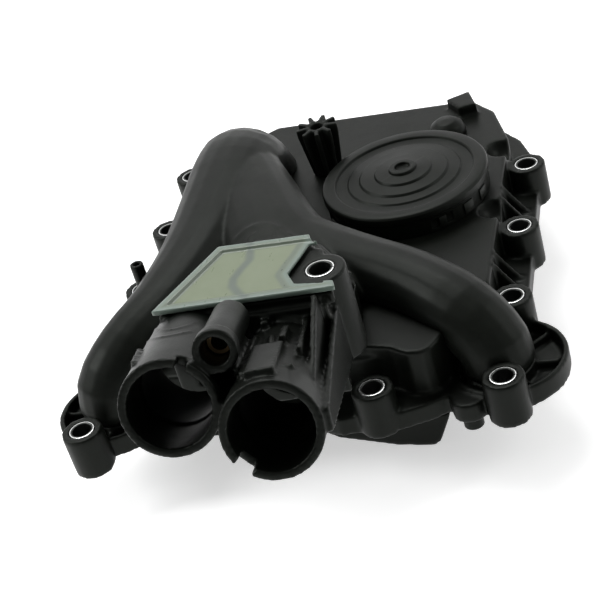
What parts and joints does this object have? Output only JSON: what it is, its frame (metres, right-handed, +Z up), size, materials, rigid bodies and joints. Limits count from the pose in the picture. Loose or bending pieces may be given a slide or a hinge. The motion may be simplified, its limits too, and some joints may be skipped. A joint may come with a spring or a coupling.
{
  "type": "engine valley cover with oil separator",
  "caption": "Moulded engine valley cover with crankcase oil separator, diaphragm pressure regulator, crossover duct and twin pipe ports.",
  "frame": {"origin": "on the mounting plane, midway between the bolt columns, in line with the front right screw", "axes": "+Z up away from the engine block, +Y towards the rear of the engine, +X to the right bank seen from the front"},
  "size_m": [0.182, 0.2757, 0.1156],
  "materials": {
    "nylon": "black glass-filled nylon, satin with fine grain",
    "nylon_light": "dark grey-green moulded nylon, matte",
    "steel": "bright zinc-plated steel",
    "brass": "turned brass",
    "seal": "green fluoro rubber seal",
    "rubber": "black rubber",
    "cover": "pale green translucent plastic",
    "acetal": "natural acetal"
  },
  "bodies": {
    "housing": {"upper_housing": "nylon", "crossover_duct": "nylon", "twin_port_housing": "nylon", "port_gasket": "seal", "flange_cover": "cover", "left_boss_sleeves": "steel", "right_boss_sleeves": "steel", "front_boss_sleeve": "steel", "tower_sleeve": "steel", "screw_insert": "brass", "rim_gasket": "seal", "left_foot_seal": "seal", "right_foot_seal": "seal", "lower_pan": "nylon", "regulator_cover": "nylon", "vent_hood": "nylon", "cover_post": "nylon_light", "dowel_pin": "nylon", "regulator_diaphragm": "rubber", "regulator_spring": "steel", "regulator_seat": "acetal", "suction_channel": "nylon_light", "cyclone_block": "nylon_light", "cyclone_lid": "nylon_light", "baffle_plate": "nylon_light", "drain_valve_cage": "acetal", "relief_spring": "steel"},
    "regulator_valve": {"regulator_plunger": "acetal", "plunger_cap": "acetal"},
    "drain_valve": {"drain_valve_disc": "rubber"},
    "relief_valve": {"relief_valve_plate": "acetal"}
  },
  "joints": [
    {"name": "regulator_stroke", "type": "slide", "parent": "housing", "child": "regulator_valve", "axis": [0, 0, -1], "range_m": [0, 0.003], "stiffness_N_per_m": 400, "springref_m": -0.002, "deforming": ["regulator_spring", "regulator_diaphragm"]},
    {"name": "drain_stroke", "type": "slide", "parent": "housing", "child": "drain_valve", "axis": [0, 0, 1], "range_m": [0, 0.0024]},
    {"name": "relief_stroke", "type": "slide", "parent": "housing", "child": "relief_valve", "axis": [0, 0, 1], "range_m": [0, 0.003], "stiffness_N_per_m": 120, "springref_m": -0.002, "deforming": ["relief_spring"]}
  ]
}
